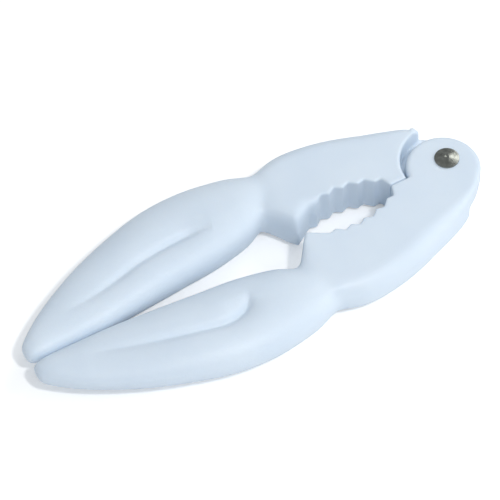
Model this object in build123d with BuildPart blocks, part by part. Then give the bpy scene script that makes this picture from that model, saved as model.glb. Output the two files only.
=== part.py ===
from build123d import *
import math
import os

# Lobster cracker: two identical moulded plastic arms shaped like lobster claws, crossed
# in a half-lap hinge and held by one steel rivet over a washer.
# Units are millimetres. +Z is up, X runs along the tool with the claw tips at -X and the
# hinge at +X, and Y runs across it. The origin is under the middle of the closed tool,
# on the surface that it rests on.

# Driving dimensions
OVERALL_LENGTH = 180.0
HANDLE_THICKNESS = 18.4        # thickest place of each bulged handle
JAW_THICKNESS = 15.4           # flat-sided jaw block and hinge
PARTING_GAP = 0.10             # each arm stands this far off the closed mating plane
LAYER_GAP = 0.05               # each ear stands this far off the middle plane
RUNNING_CLEARANCE = 0.05       # under the rivet head and round its shank

# Hinge
EAR_RADIUS = 13.6
EAR_CENTRE_X = -2.6            # from the rivet axis: the ear is a little off centre on it
EAR_CENTRE_OUT = 1.8
RECESS_RADIUS = 16.9           # clears the corner of the other arm's ear at every angle
SHOULDER_END_X = -1.5          # the wall round the recess stops here, as a blunt end
SHANK_DIAMETER = 5.0
HEAD_DIAMETER = 9.0
HEAD_HEIGHT = 1.4              # crown of the low, turned cone
HEAD_RIM = 0.5
HEAD_DIMPLE_RADIUS = 0.8
HEAD_DIMPLE_DEPTH = 0.25
WASHER_DIAMETER = 9.6
WASHER_THICKNESS = 0.7
TAIL_DIAMETER = 7.4
TAIL_EDGE = 0.3

# Jaw, measured along X from the rivet axis and outwards from the mating plane
TOOTH_COUNT = 6
TOOTH_PITCH = 5.6
TOOTH_DEPTH = 2.0
FIRST_VALLEY_X = -53.0
HOLLOW_FRONT = 7.5             # how far the first, middle and last valleys stand out
HOLLOW_MIDDLE = 9.3
HOLLOW_BACK = 4.4
JAW_CORNER = (-60.4, 3.0)
MATING_START_X = -23.6         # where the two arms meet behind the teeth
JAW_ROOT = (-69.0, 13.4)       # inner end of the crease between jaw and handle
CREASE_DIP = (-62.8, 32.0)     # outer end of the same crease
OUTER_ROUND = 3.0
EAR_ROUND = 1.5

# Outer edge of the jaw block, from the crease to the ear
JAW_EDGE = [CREASE_DIP, (-55.8, 34.1), (-46.8, 34.5), (-34.8, 32.6), (-22.8, 28.8),
            (-10.8, 23.6), (-2.4, 19.2), (4.0, 14.6), (8.8, 9.2)]

PIVOT_X = OVERALL_LENGTH / 2 - (EAR_CENTRE_X + EAR_RADIUS)
TIP_X = -OVERALL_LENGTH / 2 - PIVOT_X          # claw tip, measured from the rivet axis
MIDDLE_Z = HANDLE_THICKNESS / 2
JAW_BOTTOM = MIDDLE_Z - JAW_THICKNESS / 2
JAW_TOP = MIDDLE_Z + JAW_THICKNESS / 2
HEAD_SEAT = JAW_TOP + RUNNING_CLEARANCE
TAIL_SEAT = JAW_BOTTOM - WASHER_THICKNESS

# Handle stations from the jaw to the tip: distance from the rivet axis, inner edge,
# outer edge and half thickness
HANDLE_STATIONS = [
    (-58.0, 18.0, 32.4, 7.0),
    (-63.0, 16.0, 31.8, 7.2),
    (-69.0, 12.8, 34.1, 8.0),
    (-77.0, 8.6, 36.6, 8.92),
    (-91.0, 5.2, 38.7, 9.07),
    (-106.0, 3.7, 37.9, 8.92),
    (-121.0, 2.2, 34.0, 8.3),
    (-137.0, 0.7, 28.2, 6.8),
    (-149.0, 0.3, 22.2, 5.7),
    (-157.5, 0.3, 16.6, 4.9),
    (-163.5, 0.5, 11.4, 4.1),
    (-167.3, 1.5, 8.0, 2.7),
    (TIP_X, 3.2, 5.8, 1.0),
]
SECTION_POINTS = 12
SQUARENESS = 2.4               # 2 is an ellipse, more is squarer

# Grooves that split each claw into finger and palm, one on each broad side: distance
# from the rivet axis, distance outwards and height of the surface above the middle plane
GROOVE_RADIUS = 3.0
GROOVE_DEPTH = 1.5
HOOKED_GROOVE = [(-92.0, 17.5, 9.8), (-95.5, 21.2, 9.2), (-103.0, 23.2, 9.1), (-121.0, 18.8, 8.4),
                 (-137.0, 13.8, 7.2), (-151.0, 9.2, 6.8)]
TAPERED_GROOVE = [(-89.0, 16.0, 10.2), (-98.0, 17.4, 9.2), (-112.0, 16.6, 8.8), (-130.0, 12.8, 7.6),
                  (-151.0, 10.2, 6.8)]


def at(distance, outward):
    """Plan point of the front arm, from its distance along X off the rivet axis and
    its distance outwards from the mating plane."""
    return (PIVOT_X + distance, -outward)


def valley_out(distance):
    """How far the line of tooth valleys stands out: a parabola through three depths."""
    share = (distance - FIRST_VALLEY_X) / (TOOTH_PITCH * (TOOTH_COUNT - 1))
    chord = HOLLOW_FRONT + (HOLLOW_BACK - HOLLOW_FRONT) * share
    crown = HOLLOW_MIDDLE - (HOLLOW_FRONT + HOLLOW_BACK) / 2
    return chord + 4 * crown * share * (1 - share)


def tooth_points():
    """Zigzag of the jaw from the first valley to the last."""
    points = []
    for step in range(2 * TOOTH_COUNT - 1):
        distance = FIRST_VALLEY_X + step * TOOTH_PITCH / 2
        crest = TOOTH_DEPTH if step % 2 else 0.0
        points.append(at(distance, valley_out(distance) - crest))
    return points


def section_points(inner, outer, half):
    """Closed superellipse across the handle, as (y, z) points."""
    points = []
    for step in range(SECTION_POINTS):
        angle = 2 * math.pi * step / SECTION_POINTS
        across = math.copysign(abs(math.cos(angle)) ** (2 / SQUARENESS), math.cos(angle))
        upward = math.copysign(abs(math.sin(angle)) ** (2 / SQUARENESS), math.sin(angle))
        points.append((-(inner + outer) / 2 + across * (outer - inner) / 2, upward * half))
    return points


def groove_cutter(stations, side):
    """Round bar along one groove, side 1 on the top and -1 underneath."""
    lift = GROOVE_RADIUS - GROOVE_DEPTH
    route = [(*at(distance, outward), MIDDLE_Z + side * (height + lift))
             for distance, outward, height in stations]
    with BuildPart() as cutter:
        with BuildLine() as path:
            Spline(*route)
        with BuildSketch(Plane(origin=path.line @ 0, z_dir=path.line % 0)):
            Circle(GROOVE_RADIUS)
        sweep()
    return cutter.part


# Claw-shaped handle of the front arm, one smooth loft from the jaw to the tip
with BuildPart() as handle:
    for distance, inner, outer, half in HANDLE_STATIONS:
        station = Plane(origin=(PIVOT_X + distance, 0, MIDDLE_Z), x_dir=(0, 1, 0), z_dir=(1, 0, 0))
        with BuildSketch(station):
            with BuildLine():
                Spline(*section_points(inner, outer, half), periodic=True)
            make_face()
    loft()

# Jaw block with its teeth, up to the hinge
with BuildPart() as jaw:
    with BuildSketch(Plane.XY.offset(JAW_BOTTOM)):
        with BuildLine():
            Spline(*[at(*point) for point in JAW_EDGE])
            Polyline(
                at(*JAW_EDGE[-1]),
                at(EAR_CENTRE_X, EAR_CENTRE_OUT),
                at(EAR_CENTRE_X, PARTING_GAP),
                at(MATING_START_X, PARTING_GAP),
                *reversed(tooth_points()),
                at(*JAW_CORNER),
                at(*JAW_ROOT),
                at(*CREASE_DIP),
            )
        make_face()
    extrude(amount=JAW_THICKNESS)
    rounded = jaw.faces().sort_by(Axis.Z)[-1].edges() + jaw.faces().sort_by(Axis.Z)[0].edges()
    rounded = rounded.filter_by(lambda edge: edge.center().Y < at(0, HOLLOW_MIDDLE)[1])
    fillet(rounded, radius=OUTER_ROUND)

# Ear of the front arm, the upper layer of the hinge
with BuildPart() as ear:
    with BuildSketch(Plane.XY.offset(MIDDLE_Z + LAYER_GAP)):
        with Locations(at(EAR_CENTRE_X, EAR_CENTRE_OUT)):
            Circle(EAR_RADIUS)
    extrude(amount=JAW_THICKNESS / 2 - LAYER_GAP)
    fillet(ear.faces().sort_by(Axis.Z)[-1].edges(), radius=EAR_ROUND)

hooked_cutter = groove_cutter(HOOKED_GROOVE, 1)
tapered_cutter = groove_cutter(TAPERED_GROOVE, -1)

# Front arm, whose ear is the upper one. The other arm's ear turns in the round recess.
with BuildPart() as front_arm:
    add(handle.part)
    add(jaw.part)
    with BuildSketch(Plane.XY.offset(MIDDLE_Z + LAYER_GAP)):
        with Locations((PIVOT_X, 0)):
            Circle(RECESS_RADIUS)
        with Locations(at(SHOULDER_END_X, 0)):
            Rectangle(2 * EAR_RADIUS, 4 * EAR_RADIUS, align=(Align.MIN, Align.CENTER))
    extrude(amount=-HANDLE_THICKNESS, mode=Mode.SUBTRACT)
    add(ear.part)
    add(hooked_cutter, mode=Mode.SUBTRACT)
    add(tapered_cutter, mode=Mode.SUBTRACT)
    with Locations((PIVOT_X, 0, MIDDLE_Z)):
        Hole(SHANK_DIAMETER / 2 + RUNNING_CLEARANCE)

# Rear arm: the same moulding turned over about the long axis, so its ear is the lower one
long_axis = Axis((0, 0, MIDDLE_Z), (1, 0, 0))
with BuildPart() as rear_arm:
    add(front_arm.part.rotate(long_axis, 180), clean=False)

# Rivet: low turned cone of a head on top, shank through both ears, peened tail below
with BuildPart() as pivot_rivet:
    with BuildSketch(Plane(origin=(PIVOT_X, 0, 0), x_dir=(1, 0, 0), z_dir=(0, -1, 0))):
        with BuildLine():
            Polyline(
                (0, HEAD_SEAT + HEAD_HEIGHT - HEAD_DIMPLE_DEPTH),
                (HEAD_DIMPLE_RADIUS, HEAD_SEAT + HEAD_HEIGHT),
                (HEAD_DIAMETER / 2, HEAD_SEAT + HEAD_RIM),
                (HEAD_DIAMETER / 2, HEAD_SEAT),
                (SHANK_DIAMETER / 2, HEAD_SEAT),
                (SHANK_DIAMETER / 2, TAIL_SEAT),
                (TAIL_DIAMETER / 2, TAIL_SEAT),
                (TAIL_DIAMETER / 2, TAIL_SEAT - TAIL_EDGE),
                (SHANK_DIAMETER / 2, 0),
                (0, 0),
                close=True,
            )
        make_face()
    revolve(axis=Axis((PIVOT_X, 0, 0), (0, 0, 1)))

# Washer that spreads the peened tail over the rear arm
with BuildPart() as rivet_washer:
    with BuildSketch(Plane.XY.offset(TAIL_SEAT)):
        with Locations((PIVOT_X, 0)):
            Circle(WASHER_DIAMETER / 2)
            Circle(SHANK_DIAMETER / 2, mode=Mode.SUBTRACT)
    extrude(amount=WASHER_THICKNESS)

os.makedirs("parts", exist_ok=True)
pieces = {
    "front_arm": front_arm,
    "rear_arm": rear_arm,
    "pivot_rivet": pivot_rivet,
    "rivet_washer": rivet_washer,
}
for label, piece in pieces.items():
    piece.part.label = label
    export_step(piece.part, f"parts/{label}.step")
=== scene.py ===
import math

import bmesh
import bpy
import numpy as np
from mathutils import Matrix, Vector


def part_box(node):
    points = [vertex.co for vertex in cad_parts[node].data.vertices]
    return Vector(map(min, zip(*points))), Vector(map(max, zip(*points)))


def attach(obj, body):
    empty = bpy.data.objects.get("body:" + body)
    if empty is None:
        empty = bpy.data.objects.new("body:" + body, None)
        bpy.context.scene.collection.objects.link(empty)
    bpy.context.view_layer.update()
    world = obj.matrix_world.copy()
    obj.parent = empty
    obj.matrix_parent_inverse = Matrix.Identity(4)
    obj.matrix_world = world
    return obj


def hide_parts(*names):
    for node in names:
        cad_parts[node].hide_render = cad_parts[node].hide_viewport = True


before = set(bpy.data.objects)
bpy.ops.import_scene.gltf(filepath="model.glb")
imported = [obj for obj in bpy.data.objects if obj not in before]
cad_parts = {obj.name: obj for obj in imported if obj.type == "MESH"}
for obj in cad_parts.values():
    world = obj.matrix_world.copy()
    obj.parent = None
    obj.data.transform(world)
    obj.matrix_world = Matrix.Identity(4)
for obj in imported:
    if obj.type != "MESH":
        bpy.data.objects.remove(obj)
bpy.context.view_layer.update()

# Lobster cracker: two identical moulded arms, one turned over, on a steel rivet.
# The arms' plan is given in millimetres: distance along X from the rivet axis, and
# distance outwards from the plane where the arms meet. Everything built is in metres.
MM = 0.001

# ---------------------------------------------------------------- frame
arm_low, arm_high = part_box("front_arm")
rivet_low, rivet_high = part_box("pivot_rivet")
PIVOT_X = (rivet_low[0] + rivet_high[0]) / 2 / MM
MIDDLE_Z = (arm_low[2] + arm_high[2]) / 2 / MM
TIP_X = arm_low[0] / MM - PIVOT_X
JAW_THICKNESS = 15.4
JAW_TOP = MIDDLE_Z + JAW_THICKNESS / 2
JAW_BOTTOM = MIDDLE_Z - JAW_THICKNESS / 2

# ---------------------------------------------------------------- arm shape
PARTING_GAP = 0.12             # each arm stands this far off the closed mating plane
LAYER_GAP = 0.08               # each ear stands this far off the middle plane
LAYER_OVERLAP = 0.6            # the lower slab runs this far up into the upper one
HINGE_ROUND = 0.5              # rim of the faces between the two arms
EAR_RADIUS = 13.6
EAR_CENTRE = (-2.6, 1.8)
EAR_ROUND = 1.7
RECESS_RADIUS = 16.9
SHOULDER_END_X = -1.5
SHOULDER_ROUND = 0.9
HOLE_RADIUS = 2.6
SHOULDER_CORNER = 3.0          # the shoulder's corner is blunted from this far back
SHOULDER_BACK_OFF = 0.8        # and the recess wall starts this far from its end
SHOULDER_TIP = (1.2, 17.9)
SHOULDER_TIP_ROUND = 4.0
TOOTH_COUNT = 6
TOOTH_PITCH = 5.6
TOOTH_DEPTH = 1.7
TOOTH_ROUND = 0.6
FIRST_VALLEY_X = -53.0
HOLLOW_FRONT, HOLLOW_MIDDLE, HOLLOW_BACK = 7.5, 9.3, 4.4
MATING_START_X = -23.6
JAW_CORNER = (-60.4, 2.4)
JAW_ROOT = (-69.0, 13.4)
CREASE_DIP = (-62.8, 32.0)
OUTER_ROUND = 6.0
END_ROUND_HOOKED = 1.3         # rim of the jaw's end, on the side with the hooked groove
END_ROUND_TAPERED = 4.6        # the same rim on the side with the tapered groove
CREASE_REACH = 9.0             # the neck is softened this far from the crease
END_REACH = 9.0                # and this far from the jaw's end, on the tapered side only
LAND_REACH = 5.0               # and from the flat between the jaw's corner and its teeth
SOFTEN_PASSES = 70
SOFTEN_DEPTH = 3.0             # the tapered side's share grows over this depth below the middle

JAW_EDGE = [CREASE_DIP, (-55.8, 34.1), (-46.8, 34.5), (-34.8, 32.6), (-22.8, 28.8),
            (-10.8, 23.6), (-2.4, 19.2), (4.0, 14.6), (8.8, 9.2)]

# Handle stations: along X, inner edge, outer edge, half thickness
HANDLE_STATIONS = [
    (-54.0, 19.0, 31.0, 6.6),
    (-58.0, 18.0, 32.0, 7.0),
    (-63.0, 16.0, 31.8, 7.4),
    (-69.0, 12.8, 34.1, 8.4),
    (-77.0, 8.6, 36.6, 9.0),
    (-91.0, 5.2, 38.7, 9.15),
    (-106.0, 3.7, 37.9, 9.0),
    (-121.0, 2.2, 34.0, 8.3),
    (-137.0, 0.7, 28.2, 6.8),
    (-149.0, 0.35, 22.2, 5.7),
    (-157.5, 0.3, 17.0, 5.1),
    (-163.5, 0.4, 12.4, 4.5),
    (-167.2, 1.1, 9.2, 3.4),
    (-168.7, 2.3, 7.2, 2.0),
    (TIP_X + 0.1, 4.2, 5.0, 0.3),
]
SQUARENESS = 2.4               # 2 is an ellipse, more is squarer

# Grooves: along X, outwards, depth. Each is a narrow cut in the middle of a broad valley.
GROOVE_LINE_WIDTH, GROOVE_LINE_SHARE = 1.5, 0.75
GROOVE_VALLEY_WIDTH, GROOVE_VALLEY_SHARE = 5.0, 0.6
GROOVE_LIMIT_X = -80.0         # grooves are pressed only beyond this
HOOKED_GROOVE = [(-91.6, 17.0, 0.5), (-93.2, 19.6, 1.9), (-96.5, 21.8, 2.6), (-103.0, 23.0, 2.3),
                 (-111.0, 21.4, 2.0), (-121.0, 18.7, 1.8), (-132.0, 15.4, 1.3), (-143.0, 11.7, 0.7),
                 (-152.0, 9.0, 0.0)]
TAPERED_GROOVE = [(-88.0, 15.4, 0.0), (-92.5, 16.6, 0.9), (-98.0, 17.3, 1.9), (-106.0, 17.1, 2.1),
                  (-117.0, 15.8, 1.8), (-128.0, 13.4, 1.5), (-138.0, 11.6, 0.9), (-151.0, 10.4, 0.0)]


def through(points, steps):
    """Catmull-Rom curve through the points, with the given steps in each span."""
    p = np.array(points, float)
    p = np.vstack([2 * p[0] - p[1], p, 2 * p[-1] - p[-2]])
    t = np.linspace(0, 1, steps, endpoint=False)[:, None]
    spans = []
    for a, b, c, d in zip(p, p[1:], p[2:], p[3:]):
        spans.append(0.5 * (2 * b + (c - a) * t + (2 * a - 5 * b + 4 * c - d) * t**2
                            + (3 * b - a - 3 * c + d) * t**3))
    return np.vstack(spans + [p[-2:-1]])


def straight(start, end, spacing=0.6):
    """Points from start up to, but not including, end."""
    start, end = np.array(start, float), np.array(end, float)
    count = max(1, int(np.linalg.norm(end - start) / spacing))
    return start + (end - start) * np.linspace(0, 1, count, endpoint=False)[:, None]


def valley_out(distance):
    """How far the line of tooth valleys stands out: a parabola through three depths."""
    share = (distance - FIRST_VALLEY_X) / (TOOTH_PITCH * (TOOTH_COUNT - 1))
    chord = HOLLOW_FRONT + (HOLLOW_BACK - HOLLOW_FRONT) * share
    crown = HOLLOW_MIDDLE - (HOLLOW_FRONT + HOLLOW_BACK) / 2
    return chord + 4 * crown * share * (1 - share)


def jaw_edge_inside(end_round):
    """Inner edge of a jaw, from the mating face over the teeth to the crease dip, with
    the rounding radius of the block's rim at each point."""
    corners = []
    for step in reversed(range(2 * TOOTH_COUNT - 1)):
        distance = FIRST_VALLEY_X + step * TOOTH_PITCH / 2
        corners.append((distance, valley_out(distance) - (TOOTH_DEPTH if step % 2 else 0.0)))
    corners = [(MATING_START_X, PARTING_GAP)] + corners
    runs, rounds = [], []
    for a, b in zip(corners, corners[1:]):
        run = straight(a, b, 0.45)
        runs.append(run)
        rounds += [TOOTH_ROUND] * len(run)
    land = straight(corners[-1], JAW_CORNER)
    runs.append(land)
    rounds += list(np.linspace(TOOTH_ROUND, end_round, len(land)))
    for a, b in ((JAW_CORNER, JAW_ROOT), (JAW_ROOT, CREASE_DIP)):
        run = straight(a, b)
        runs.append(run)
        rounds += [end_round] * len(run)
    return np.vstack(runs), rounds


def outer_edge(last_x):
    """Outer edge of the block from the crease dip towards the hinge, up to last_x."""
    curve = through(JAW_EDGE, 12)
    curve = curve[curve[:, 0] < last_x]
    rounds = np.interp(curve[:, 0], [-20, 2], [OUTER_ROUND, EAR_ROUND])
    return curve, list(rounds)


def upper_outline():
    """Plan of the layer with the ear, up to the edge that the ear's disc continues."""
    inside, inside_round = jaw_edge_inside(END_ROUND_HOOKED)
    outer, outer_round = outer_edge(EAR_RADIUS)
    back = np.vstack([straight((8.4, 8.6), (1.0, 3.4)), straight((1.0, 3.4), (-15.0, 1.0)),
                      straight((-15.0, PARTING_GAP), (MATING_START_X, PARTING_GAP))])
    rounds = outer_round + [HINGE_ROUND] * len(back) + inside_round
    return np.vstack([outer, back, inside]), rounds


def lower_outline():
    """Plan of the layer with the round recess for the other arm's ear."""
    inside, inside_round = jaw_edge_inside(END_ROUND_TAPERED)
    outer, outer_round = outer_edge(SHOULDER_END_X - SHOULDER_CORNER)
    start = math.acos((SHOULDER_END_X - SHOULDER_BACK_OFF) / RECESS_RADIUS)
    end = math.acos(-1) - PARTING_GAP / RECESS_RADIUS
    angles = np.linspace(start, end, 48)
    arc = np.stack([RECESS_RADIUS * np.cos(angles), RECESS_RADIUS * np.sin(angles)], 1)
    turn = np.linspace(0, 1, 10)[1:-1, None]
    tip = np.array(SHOULDER_TIP)
    blunt = (1 - turn) ** 2 * outer[-1] + 2 * turn * (1 - turn) * tip + turn**2 * arc[0]
    seat = straight(arc[-1], (MATING_START_X, PARTING_GAP))[1:]
    arc_round = np.interp(np.arange(len(arc)), [0, 10], [SHOULDER_TIP_ROUND / 2, SHOULDER_ROUND])
    rounds = (outer_round + [SHOULDER_TIP_ROUND] * len(blunt) + list(arc_round)
              + [HINGE_ROUND] * len(seat) + inside_round)
    return np.vstack([outer, blunt, arc, seat, inside]), rounds


def slab(outline, rounds, low, high, round_low, round_high):
    """Closed slab on a plan outline, its rims rounded by each point's own radius."""
    points = np.array(outline, float)
    rounds = np.array(rounds, float)
    ahead, behind = np.roll(points, -1, 0), np.roll(points, 1, 0)
    area = np.sum(points[:, 0] * ahead[:, 1] - points[:, 1] * ahead[:, 0])
    along = ahead - behind
    along /= np.linalg.norm(along, axis=1)[:, None] + 1e-9
    inward = np.stack([-along[:, 1], along[:, 0]], 1) * math.copysign(1, area)
    for _ in range(2):
        inward = (np.roll(inward, 1, 0) + 2 * inward + np.roll(inward, -1, 0)) / 4
        rounds = (np.roll(rounds, 1) + 2 * rounds + np.roll(rounds, -1)) / 4
    angles = np.linspace(0, math.pi / 2, 8)
    rings = []
    for angle in angles:
        inset = rounds * (1 - math.sin(angle)) * round_low
        rings.append((inset, low + rounds * (1 - math.cos(angle)) * round_low))
    for angle in angles[::-1]:
        inset = rounds * (1 - math.sin(angle)) * round_high
        rings.append((inset, high - rounds * (1 - math.cos(angle)) * round_high))
    verts = []
    for inset, height in rings:
        ring = points + inward * inset[:, None]
        verts.append(np.column_stack([ring, np.broadcast_to(height, len(points))]))
    count = len(points)
    faces = [tuple(range(count))[::-1]]
    for ring in range(len(rings) - 1):
        for i in range(count):
            j = (i + 1) % count
            near, far = ring * count, (ring + 1) * count
            faces.append((near + i, near + j, far + j, far + i))
    faces.append(tuple(range((len(rings) - 1) * count, len(rings) * count)))
    return np.vstack(verts), faces


def claw_handle():
    """Claw-shaped handle: superellipse sections along the stations."""
    stations = through(HANDLE_STATIONS, 10)
    turn = np.linspace(0, 2 * math.pi, 64, endpoint=False)
    across = np.sign(np.cos(turn)) * np.abs(np.cos(turn)) ** (2 / SQUARENESS)
    upward = np.sign(np.sin(turn)) * np.abs(np.sin(turn)) ** (2 / SQUARENESS)
    verts = []
    for distance, inner, outer, half in stations:
        out = (inner + outer) / 2 + across * (outer - inner) / 2
        verts.append(np.column_stack([np.full(len(turn), distance), out, MIDDLE_Z + upward * half]))
    count = len(turn)
    faces = [tuple(range(count))]
    for ring in range(len(stations) - 1):
        for i in range(count):
            j = (i + 1) % count
            near, far = ring * count, (ring + 1) * count
            faces.append((near + i, far + i, far + j, near + j))
    last = (len(stations) - 1) * count
    faces.append(tuple(range(last, last + count))[::-1])
    return np.vstack(verts), faces


def to_mesh(name, shapes):
    """One mesh object, in metres and in the frame's place, from plan-frame shapes."""
    verts, faces = [], []
    for shape_verts, shape_faces in shapes:
        start = len(verts)
        verts += [(PIVOT_X * MM + x * MM, -out * MM, z * MM) for x, out, z in shape_verts]
        faces += [tuple(start + i for i in face) for face in shape_faces]
    mesh = bpy.data.meshes.new(name)
    mesh.from_pydata(verts, [], faces)
    obj = bpy.data.objects.new(name, mesh)
    bpy.context.scene.collection.objects.link(obj)
    work = bmesh.new()
    work.from_mesh(mesh)
    bmesh.ops.recalc_face_normals(work, faces=work.faces)
    work.to_mesh(mesh)
    work.free()
    return obj


def apply_modifiers(obj):
    """Replaces the object's mesh with the result of its modifiers."""
    graph = bpy.context.evaluated_depsgraph_get()
    mesh = bpy.data.meshes.new_from_object(obj.evaluated_get(graph))
    obj.modifiers.clear()
    obj.data = mesh


def press_groove(co, stations, side):
    """Presses a groove into one broad side of the handle. Side 1 is the top."""
    curve = through(stations, 16)
    x = co[:, 0] / MM - PIVOT_X
    out = -co[:, 1] / MM
    height = (co[:, 2] / MM - MIDDLE_Z) * side
    near = np.where((x < GROOVE_LIMIT_X) & (height > 1.0))[0]
    gap = np.hypot(x[near, None] - curve[None, :, 0], out[near, None] - curve[None, :, 1])
    nearest = gap.argmin(1)
    distance = gap.min(1)
    depth = np.clip(curve[nearest, 2], 0, None)
    line = GROOVE_LINE_SHARE * np.exp(-(distance / GROOVE_LINE_WIDTH) ** 1.6)
    valley = GROOVE_VALLEY_SHARE * np.exp(-(distance / GROOVE_VALLEY_WIDTH) ** 2)
    press = depth * (line + valley)
    co[near, 2] -= side * press * MM * np.clip((height[near] - 1.0) / 2.0, 0, 1)


def nearness(x, out, start, end, reach):
    """1 on the plan segment from start to end, falling to 0 at the reach."""
    start, end = np.array(start), np.array(end)
    run = end - start
    share = np.clip(((x - start[0]) * run[0] + (out - start[1]) * run[1]) / (run @ run), 0.0, 1.0)
    gap = np.hypot(x - start[0] - share * run[0], out - start[1] - share * run[1])
    return np.clip(1.0 - gap / reach, 0.0, 1.0)


def soften(mesh, co):
    """Blends the handle into the jaw block and rolls the block's end over, by smoothing
    the surface near the crease and near the end."""
    edges = np.empty(len(mesh.edges) * 2, int)
    mesh.edges.foreach_get("vertices", edges)
    first, second = edges.reshape(-1, 2).T
    x = co[:, 0] / MM - PIVOT_X
    out = -co[:, 1] / MM
    below = np.clip((MIDDLE_Z - co[:, 2] / MM) / SOFTEN_DEPTH, 0.0, 1.0)
    crease = nearness(x, out, JAW_ROOT, CREASE_DIP, CREASE_REACH)
    first_valley = (FIRST_VALLEY_X, HOLLOW_FRONT)
    end = np.maximum(nearness(x, out, JAW_CORNER, JAW_ROOT, END_REACH),
                     nearness(x, out, JAW_CORNER, first_valley, LAND_REACH)) * below
    weight = np.maximum(crease, end) ** 0.7 * 0.9
    links = np.bincount(edges, minlength=len(co))[:, None]
    for _ in range(SOFTEN_PASSES):
        total = np.zeros_like(co)
        for axis in range(3):
            total[:, axis] = (np.bincount(first, co[second, axis], len(co))
                              + np.bincount(second, co[first, axis], len(co)))
        co += (total / links - co) * weight[:, None]


def bore(obj):
    """Drills the rivet hole through the arm's ear."""
    mesh = bpy.data.meshes.new("bore")
    work = bmesh.new()
    place = Matrix.Translation((PIVOT_X * MM, 0, MIDDLE_Z * MM))
    bmesh.ops.create_cone(work, cap_ends=True, segments=64, radius1=HOLE_RADIUS * MM,
                          radius2=HOLE_RADIUS * MM, depth=2 * JAW_THICKNESS * MM, matrix=place)
    work.to_mesh(mesh)
    work.free()
    cutter = bpy.data.objects.new("bore", mesh)
    bpy.context.scene.collection.objects.link(cutter)
    cut = obj.modifiers.new("bore", "BOOLEAN")
    cut.operation = "DIFFERENCE"
    cut.object = cutter
    apply_modifiers(obj)
    bpy.data.objects.remove(cutter)


def front_arm_object(name):
    """Front arm: handle, two slabs and ear joined by a voxel remesh, then softened,
    grooved and drilled."""
    upper, upper_round = upper_outline()
    lower, lower_round = lower_outline()
    turn = np.linspace(0, 2 * math.pi, 160, endpoint=False)
    ear = np.column_stack([EAR_CENTRE[0] + EAR_RADIUS * np.cos(turn),
                           EAR_CENTRE[1] + EAR_RADIUS * np.sin(turn)])
    shapes = [
        claw_handle(),
        slab(upper, upper_round, MIDDLE_Z + LAYER_GAP, JAW_TOP, 0.0, 1.0),
        slab(lower, lower_round, JAW_BOTTOM, MIDDLE_Z + LAYER_OVERLAP, 1.0, 0.0),
        slab(ear, [EAR_ROUND] * len(ear), MIDDLE_Z + LAYER_GAP, JAW_TOP, 0.1, 1.0),
    ]
    obj = to_mesh(name, shapes)
    remesh = obj.modifiers.new("join", "REMESH")
    remesh.mode = "VOXEL"
    remesh.voxel_size = 0.45 * MM
    smooth = obj.modifiers.new("soften", "SMOOTH")
    smooth.factor = 0.5
    smooth.iterations = 3
    apply_modifiers(obj)
    co = np.empty(len(obj.data.vertices) * 3)
    obj.data.vertices.foreach_get("co", co)
    co = co.reshape(-1, 3)
    soften(obj.data, co)
    press_groove(co, HOOKED_GROOVE, 1)
    press_groove(co, TAPERED_GROOVE, -1)
    obj.data.vertices.foreach_set("co", co.ravel())
    bore(obj)
    for polygon in obj.data.polygons:
        polygon.use_smooth = True
    return obj


# The rear arm is the same moulding turned over about the long axis
front = front_arm_object("front_claw")
rear = front.copy()
rear.data = front.data.copy()
rear.name = "rear_claw"
bpy.context.scene.collection.objects.link(rear)
turn_over = Matrix(((1, 0, 0, 0), (0, -1, 0, 0), (0, 0, -1, 2 * MIDDLE_Z * MM), (0, 0, 0, 1)))
rear.data.transform(turn_over)


# ---------------------------------------------------------------- materials
def node(tree, kind, **values):
    """Adds a shader node. Each value sets the input of that name, or else the attribute."""
    made = tree.nodes.new(kind)
    for key, value in values.items():
        if key in made.inputs:
            made.inputs[key].default_value = value
        else:
            setattr(made, key, value)
    return made


def plastic_material():
    """Pale blue moulded plastic, a little cloudy, with a fine grain."""
    mat = bpy.data.materials.new("moulded_plastic")
    mat.use_nodes = True
    tree = mat.node_tree
    link = tree.links.new
    shader = tree.nodes["Principled BSDF"]
    place = node(tree, "ShaderNodeTexCoord").outputs["Object"]
    clouds = node(tree, "ShaderNodeTexNoise", Scale=45.0, Detail=3.0)
    link(place, clouds.inputs["Vector"])
    tint = node(tree, "ShaderNodeValToRGB")
    tint.color_ramp.elements[0].position = 0.3
    tint.color_ramp.elements[0].color = (0.665, 0.765, 0.875, 1)
    tint.color_ramp.elements[1].position = 0.7
    tint.color_ramp.elements[1].color = (0.705, 0.80, 0.90, 1)
    link(clouds.outputs["Fac"], tint.inputs["Fac"])
    link(tint.outputs["Color"], shader.inputs["Base Color"])
    grain = node(tree, "ShaderNodeTexNoise", Scale=1500.0, Detail=2.0, Roughness=0.6)
    link(place, grain.inputs["Vector"])
    rough = node(tree, "ShaderNodeMapRange")
    rough.inputs["To Min"].default_value = 0.36
    rough.inputs["To Max"].default_value = 0.52
    link(grain.outputs["Fac"], rough.inputs["Value"])
    link(rough.outputs["Result"], shader.inputs["Roughness"])
    axes = node(tree, "ShaderNodeSeparateXYZ")
    link(place, axes.inputs["Vector"])
    # The grain fades in from the jaw block, where it is faint, to the handles
    handle = node(tree, "ShaderNodeMapRange")
    handle.inputs["From Min"].default_value = 0.020
    handle.inputs["From Max"].default_value = 0.004
    handle.inputs["To Min"].default_value = 0.10
    handle.inputs["To Max"].default_value = 0.8
    link(axes.outputs["X"], handle.inputs["Value"])
    bump = node(tree, "ShaderNodeBump")
    bump.inputs["Distance"].default_value = 0.00012
    link(handle.outputs["Result"], bump.inputs["Strength"])
    link(grain.outputs["Fac"], bump.inputs["Height"])
    link(bump.outputs["Normal"], shader.inputs["Normal"])
    shader.inputs["Subsurface Weight"].default_value = 0.12
    shader.inputs["Subsurface Radius"].default_value = (0.004, 0.005, 0.006)
    shader.inputs["IOR"].default_value = 1.46
    return mat


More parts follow.
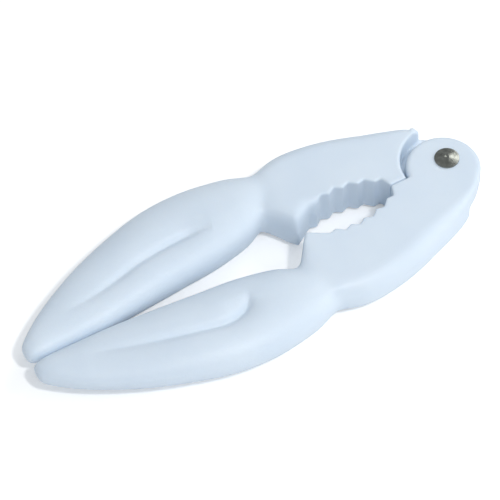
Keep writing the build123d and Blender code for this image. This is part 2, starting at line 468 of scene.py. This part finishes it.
def steel_material(name, centre):
    """Turned steel: fine rings round the rivet's axis."""
    mat = bpy.data.materials.new(name)
    mat.use_nodes = True
    tree = mat.node_tree
    link = tree.links.new
    shader = tree.nodes["Principled BSDF"]
    place = node(tree, "ShaderNodeTexCoord").outputs["Object"]
    shift = node(tree, "ShaderNodeVectorMath", operation="SUBTRACT")
    link(place, shift.inputs[0])
    shift.inputs[1].default_value = centre
    rings = node(tree, "ShaderNodeTexWave", wave_type="RINGS", rings_direction="Z", Scale=900.0,
                 Distortion=1.2)
    rings.inputs["Detail"].default_value = 2.0
    link(shift.outputs["Vector"], rings.inputs["Vector"])
    patina = node(tree, "ShaderNodeTexNoise", Scale=700.0, Detail=4.0)
    link(shift.outputs["Vector"], patina.inputs["Vector"])
    tint = node(tree, "ShaderNodeValToRGB")
    tint.color_ramp.elements[0].color = (0.13, 0.135, 0.12, 1)
    tint.color_ramp.elements[1].color = (0.38, 0.39, 0.36, 1)
    link(patina.outputs["Fac"], tint.inputs["Fac"])
    link(tint.outputs["Color"], shader.inputs["Base Color"])
    shader.inputs["Metallic"].default_value = 1.0
    shader.inputs["Roughness"].default_value = 0.24
    shader.inputs["Anisotropic"].default_value = 0.75
    bump = node(tree, "ShaderNodeBump", Strength=0.25)
    bump.inputs["Distance"].default_value = 0.00004
    link(rings.outputs["Fac"], bump.inputs["Height"])
    link(bump.outputs["Normal"], shader.inputs["Normal"])
    tangent = node(tree, "ShaderNodeTangent", direction_type="RADIAL", axis="Z")
    link(tangent.outputs["Tangent"], shader.inputs["Tangent"])
    return mat


plastic = plastic_material()
for arm, cad_name, body in ((front, "front_arm", "front_body"), (rear, "rear_arm", "rear_body")):
    arm.data.materials.clear()
    arm.data.materials.append(plastic)
    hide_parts(cad_name)
    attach(arm, body)
steel = steel_material("rivet_steel", (PIVOT_X * MM, 0, 0))
for name in ("pivot_rivet", "rivet_washer"):
    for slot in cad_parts[name].material_slots:
        slot.material = steel


# ---------------------------------------------------------------- stage
def stage_floor():
    """White floor. Its slight glow is for the camera only and lights nothing else."""
    mesh = bpy.data.meshes.new("floor")
    half = 3.0
    corners = [(-half, -half, 0), (half, -half, 0), (half, half, 0), (-half, half, 0)]
    mesh.from_pydata(corners, [], [(0, 1, 2, 3)])
    floor = bpy.data.objects.new("floor", mesh)
    bpy.context.scene.collection.objects.link(floor)
    mat = bpy.data.materials.new("floor_white")
    mat.use_nodes = True
    shader = mat.node_tree.nodes["Principled BSDF"]
    shader.inputs["Base Color"].default_value = (0.96, 0.965, 0.97, 1)
    shader.inputs["Roughness"].default_value = 0.9
    shader.inputs["Specular IOR Level"].default_value = 0.1
    shader.inputs["Emission Color"].default_value = (0.97, 0.985, 1.0, 1)
    seen = mat.node_tree.nodes.new("ShaderNodeLightPath")
    glow = mat.node_tree.nodes.new("ShaderNodeMath")
    glow.operation = "MULTIPLY"
    glow.inputs[1].default_value = 0.25
    mat.node_tree.links.new(seen.outputs["Is Camera Ray"], glow.inputs[0])
    mat.node_tree.links.new(glow.outputs["Value"], shader.inputs["Emission Strength"])
    mesh.materials.append(mat)
    floor.location.z = -0.0001


def area_light(name, place, size, watts, colour):
    """Square area light that looks at the tool."""
    data = bpy.data.lights.new(name, "AREA")
    data.energy = watts
    data.size = size
    data.color = colour
    lamp = bpy.data.objects.new(name, data)
    lamp.location = place
    lamp.rotation_euler = (Vector((0.02, 0, 0)) - Vector(place)).to_track_quat("-Z", "Y").to_euler()
    bpy.context.scene.collection.objects.link(lamp)


stage_floor()
area_light("key", (0.12, -0.67, 1.15), 0.12, 6.0, (1.0, 0.99, 0.98))
area_light("side", (0.9, -0.55, 0.45), 0.8, 3.2, (1.0, 0.99, 0.98))
area_light("fill", (-0.5, -0.7, 0.8), 0.9, 1.3, (0.95, 0.97, 1.0))
area_light("glint", (0.68, 0.36, 0.72), 0.3, 1.6, (1.0, 1.0, 0.98))

world = bpy.data.worlds.new("studio")
bpy.context.scene.world = world
world.use_nodes = True
world.node_tree.nodes["Background"].inputs["Color"].default_value = (0.93, 0.965, 1.0, 1)
world.node_tree.nodes["Background"].inputs["Strength"].default_value = 0.45
bpy.context.scene.view_settings.view_transform = "Standard"

# ---------------------------------------------------------------- camera
AZIMUTH, ELEVATION, ROLL = math.radians(-27.0), math.radians(53.3), math.radians(-2.67)
TARGET = Vector((0.0033, 0.0112, 0.0))
CAMERA_DISTANCE = 1.0203
back = Vector((math.sin(AZIMUTH) * math.cos(ELEVATION), -math.cos(AZIMUTH) * math.cos(ELEVATION),
               math.sin(ELEVATION)))
level_right = Vector((math.cos(AZIMUTH), math.sin(AZIMUTH), 0))
level_up = back.cross(level_right)
right = level_right * math.cos(ROLL) + level_up * math.sin(ROLL)
up = level_up * math.cos(ROLL) - level_right * math.sin(ROLL)
camera_data = bpy.data.cameras.new("camera")
camera_data.sensor_width = 36.0
camera_data.lens = 203.6
camera = bpy.data.objects.new("camera", camera_data)
camera.matrix_world = Matrix.Translation(TARGET + back * CAMERA_DISTANCE) @ Matrix(
    (right, up, back)).transposed().to_4x4()
bpy.context.scene.collection.objects.link(camera)
bpy.context.scene.camera = camera
